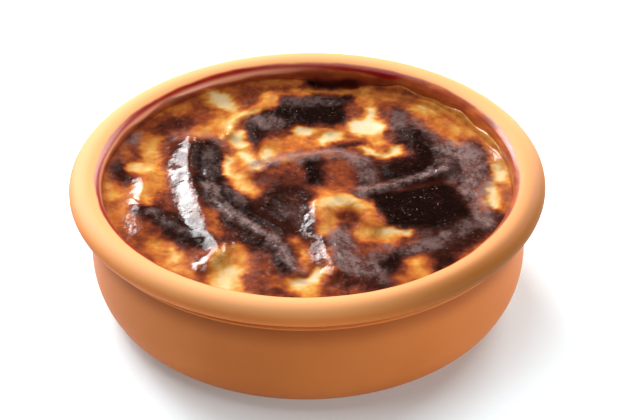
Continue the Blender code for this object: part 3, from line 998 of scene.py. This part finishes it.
# The last glaze colour is the tan of a painted reflection.
RED_GLAZE, BROWN_GLAZE, PAINTED_SHEEN_GLAZE = (128, 12, 12), (146, 38, 18), (232, 158, 124)

# Where each change starts and ends: heights, distances from the axis, or places along X and Y.
LIT_CROWN_HEIGHT = (34.2 * MM, 36.6 * MM)
SHADE_STRIP_BOTTOM = (21.0 * MM, 28.0 * MM)
SHADE_STRIP_TOP = (28.4 * MM, 29.2 * MM)
RIM_HEIGHT = (29.5 * MM, 31.0 * MM)
RIM_FACE = (57.5 * MM, 60.5 * MM)
RIGHT_HALF = (0.0, 45.0 * MM)
BACK_HALF = (-20.0 * MM, 30.0 * MM)


def clay_colour(graph, x, y, z, from_axis, clouds):
    """Clouded, grainy clay, painted highlight on top, painted shade under the bead and at right."""
    clay = graph.mix(graph.step(clouds, 0.3, 0.7), srgb(*CLAY), srgb(*LIGHT_CLAY))
    grains = graph.step(graph.noise(0.7 * MM), 0.66, 0.76)
    clay = graph.mix(0.16 * grains, clay, srgb(*CLAY_GRAIN))
    # Painted highlight: the crown of the rim is paler, as where the light falls on top.
    clay = graph.mix(0.75 * graph.step(z, *LIT_CROWN_HEIGHT), clay, srgb(*LIT_CROWN_CLAY))
    # Painted shade: the strip under the bead is darker, as the shadow under the rim.
    under_bead_shade = graph.step(z, *SHADE_STRIP_BOTTOM) * (1 - graph.step(z, *SHADE_STRIP_TOP))
    clay = graph.mix(0.7 * under_bead_shade, clay, srgb(*UNDER_BEAD_SHADE_CLAY))
    # Painted shade: the rim's outer face at the front right is darker, as if turned from the light.
    right_front = graph.step(x, *RIGHT_HALF) * (1 - graph.step(y, *BACK_HALF))
    painted_side_shade = right_front * graph.step(z, *RIM_HEIGHT)
    outer_face = graph.step(from_axis, *RIM_FACE)
    return graph.mix(painted_side_shade * (0.3 + 0.65 * outer_face), clay, srgb(*SHADED_SIDE_CLAY))


def glaze_colour(graph):
    """Clouded red glaze, with a tan band of painted reflection and the browned film over it."""
    clouds = graph.step(graph.noise(14 * MM, 3.0), 0.35, 0.65)
    glaze = graph.mix(clouds, srgb(*RED_GLAZE), srgb(*BROWN_GLAZE))
    # Painted reflection: the tan band where the glaze would catch the lights.
    glaze = graph.mix(0.9 * graph.attribute("band"), glaze, srgb(*PAINTED_SHEEN_GLAZE))
    film = oven_colour(graph, graph.attribute("film_level"), FILM_SHADE)
    return graph.mix(0.85 * graph.attribute("film"), glaze, film)


def clay_material():
    """Clay outside and glaze inside, told apart by distance from the axis and by height."""
    graph = Graph("clay_and_glaze")
    x, y, z = graph.axes()
    from_axis = (x * x + y * y) ** 0.5
    edge = from_axis + 1.2 * MM * (graph.noise(12 * MM) - 0.5)
    glazed = (1 - graph.step(edge, GLAZE_RADIUS - 0.3 * MM, GLAZE_RADIUS + 0.5 * MM)) * graph.step(
        z, GLAZE_FLOOR, GLAZE_FLOOR + 1.0 * MM)
    clouds = graph.noise(30 * MM, 3.0, 0.55)
    clay = clay_colour(graph, x, y, z, from_axis, clouds)
    wheel = graph.noise(1.6 * MM, 2.0, 0.5, (0.03, 0.03, 1))
    relief = 0.35 * graph.noise(0.9 * MM, 3.0) + 0.65 * wheel
    graph.fill(graph.shader, {
        "Base Color": graph.mix(glazed, clay, glaze_colour(graph)),
        "Roughness": 0.5 - 0.2 * glazed + 0.1 * (clouds - 0.5),
        "IOR": 1.2,
        "Coat Weight": 0.25 * glazed,
        "Coat Roughness": 0.22,
        "Normal": graph.bump(relief, 0.06 * MM),
    })
    return graph.material


dish.data.materials.append(clay_material())
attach(dish, "root")
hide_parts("dish")
print("the dish's finish:", dish.data.materials[0].name)

# %% [markdown]
# Fine noise is added to the browning before the ramp, so freckles turn up as they do in a real
# skin, and pale specks of painted glint sit in the dark parts. Where the skin dried it has a
# scuffed grey bloom, which is partly dried skin and partly painted sheen. Besides these painted
# glints and sheen the skin hardly reflects: its shine comes from a coat, which lies in streaks on
# the glossy folds and as tiny sparks elsewhere. Pores and crumpling too small for the mesh come
# from bump.

# %% Pudding material
SKIN_SHADE = 0.54
GLINT_SPECK_COLOUR = (190, 146, 132)
BLOOM_AND_SHEEN_COLOUR = (152, 124, 119)


def skin_colour(graph, level, bloom):
    """Mottled ramp colour, specks of painted glint, and grey bloom that is partly painted sheen."""
    freckles = 0.14 * (graph.noise(1.1 * MM, 4.0, 0.6) - 0.5)
    blotches = 0.14 * graph.step(level, 0.35, 0.75) * (graph.noise(2.2 * MM, 4.0, 0.6) - 0.5)
    colour = oven_colour(graph, level + freckles + blotches, SKIN_SHADE)
    # Painted glints: pale specks in clusters over the dark parts, for tiny bubbles catching light.
    clusters = graph.step(graph.noise(6 * MM), 0.42, 0.6)
    glint_specks = graph.step(graph.noise(0.7 * MM, 1.0), 0.67, 0.78) * graph.step(level, 0.35, 0.6)
    colour = graph.mix(0.5 * glint_specks * clusters, colour, srgb(*GLINT_SPECK_COLOUR, SKIN_SHADE))
    # The grey bloom: partly dried skin, partly painted sheen, broken up by scuffs.
    scuffs = (0.7 * graph.noise(3.6 * MM, 4.0, 0.65, (1.3, 0.8, 1))
              + 0.3 * graph.noise(0.9 * MM, 2.0, 0.6))
    bloom_and_sheen_haze = bloom * (0.14 + 0.82 * graph.step(scuffs, 0.38, 0.6))
    return graph.mix(bloom_and_sheen_haze, colour, srgb(*BLOOM_AND_SHEEN_COLOUR, SKIN_SHADE))


def skin_coat(graph, gloss):
    """The coat's weight: streaks in patches along the glossy strokes, and small sparks anywhere."""
    streaks = (0.55 * graph.noise(2.0 * MM, 4.0, 0.65, (1.5, 0.6, 1))
               + 0.45 * graph.noise(0.8 * MM, 3.0, 0.6))
    patches = 0.45 + 0.55 * graph.step(graph.noise(7 * MM), 0.4, 0.58)
    shine = patches * graph.step(gloss + 2.3 * (streaks - 0.5), 0.4, 1.1)
    sparks = graph.step(graph.noise(0.6 * MM, 1.0), 0.66, 0.72)
    return 0.02 + 0.95 * shine + 0.14 * sparks


def skin_relief(graph, level, bloom, gloss):
    """Height for the bump: fine grain, pores in the thick skin, and crumpling where it is dry."""
    thick = graph.step(level, 0.45, 0.8)
    fine = graph.noise(0.6 * MM, 4.0, 0.6)
    pores = graph.node("ShaderNodeTexVoronoi", {"feature": "F1"},
                       {"Vector": graph.place(), "Scale": 1 / (1.1 * MM)}, output="Distance")
    crumple = graph.noise(2.4 * MM, 3.0, 0.55)
    return (fine * (0.25 + 0.75 * thick + 1.5 * gloss) + 0.35 * graph.step(pores, 0.0, 0.25) * thick
            + crumple * (1.5 * thick + 3.5 * gloss + 2.5 * bloom))


def skin_material():
    """Browned milk skin from its points' browning, bloom and painted sheen, and gloss."""
    graph = Graph("baked_milk_skin")
    level, bloom, gloss = (graph.attribute(name) for name in ("browning", "bloom", "gloss"))
    graph.fill(graph.shader, {
        "Base Color": skin_colour(graph, level, bloom),
        "Roughness": 0.42,
        "IOR": 1.01,
        "Coat Weight": skin_coat(graph, gloss),
        "Coat Roughness": 0.16,
        "Normal": graph.bump(skin_relief(graph, level, bloom, gloss), 0.1 * MM),
    })
    return graph.material


pudding.data.materials.append(skin_material())
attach(pudding, "root")
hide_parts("pudding")
print("the pudding's finish:", pudding.data.materials[0].name)
